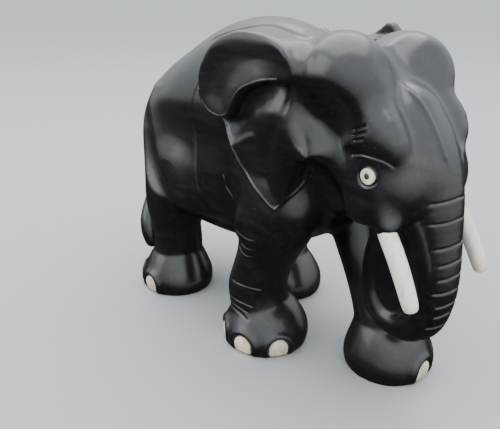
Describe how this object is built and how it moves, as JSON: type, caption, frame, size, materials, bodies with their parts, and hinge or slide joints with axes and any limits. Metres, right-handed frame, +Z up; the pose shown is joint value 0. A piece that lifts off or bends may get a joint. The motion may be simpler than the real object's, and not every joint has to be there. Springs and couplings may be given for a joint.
{
  "type": "carved elephant statuette",
  "caption": "Free-standing walking elephant carved in polished dark wood, with pale inlaid tusks, eyes and toenails; a solid ornament for a shelf or table.",
  "frame": {"origin": "middle of the footprint box, on the surface that the soles stand on", "axes": "+X points to the head and trunk, +Y to the animal's left, +Z up"},
  "size_m": [0.3489, 0.1477, 0.2534],
  "materials": {
    "dark_wood": "polished satin, near-black with a faint red-brown grain",
    "pale_inlay": "satin cream, like bone",
    "pupil": "dark, dull"
  },
  "bodies": {
    "root": {"carved_body": "dark_wood", "tusk_right": "pale_inlay", "tusk_left": "pale_inlay", "eye_disc_right": "pale_inlay", "eye_disc_left": "pale_inlay", "eye_pin_right": "pupil", "eye_pin_left": "pupil", "nail_front_right_1": "pale_inlay", "nail_front_right_2": "pale_inlay", "nail_front_right_3": "pale_inlay", "nail_front_left_1": "pale_inlay", "nail_front_left_2": "pale_inlay", "nail_front_left_3": "pale_inlay", "nail_hind_right_1": "pale_inlay", "nail_hind_right_2": "pale_inlay", "nail_hind_right_3": "pale_inlay", "nail_hind_left_1": "pale_inlay", "nail_hind_left_2": "pale_inlay", "nail_hind_left_3": "pale_inlay"}
  },
  "joints": []
}
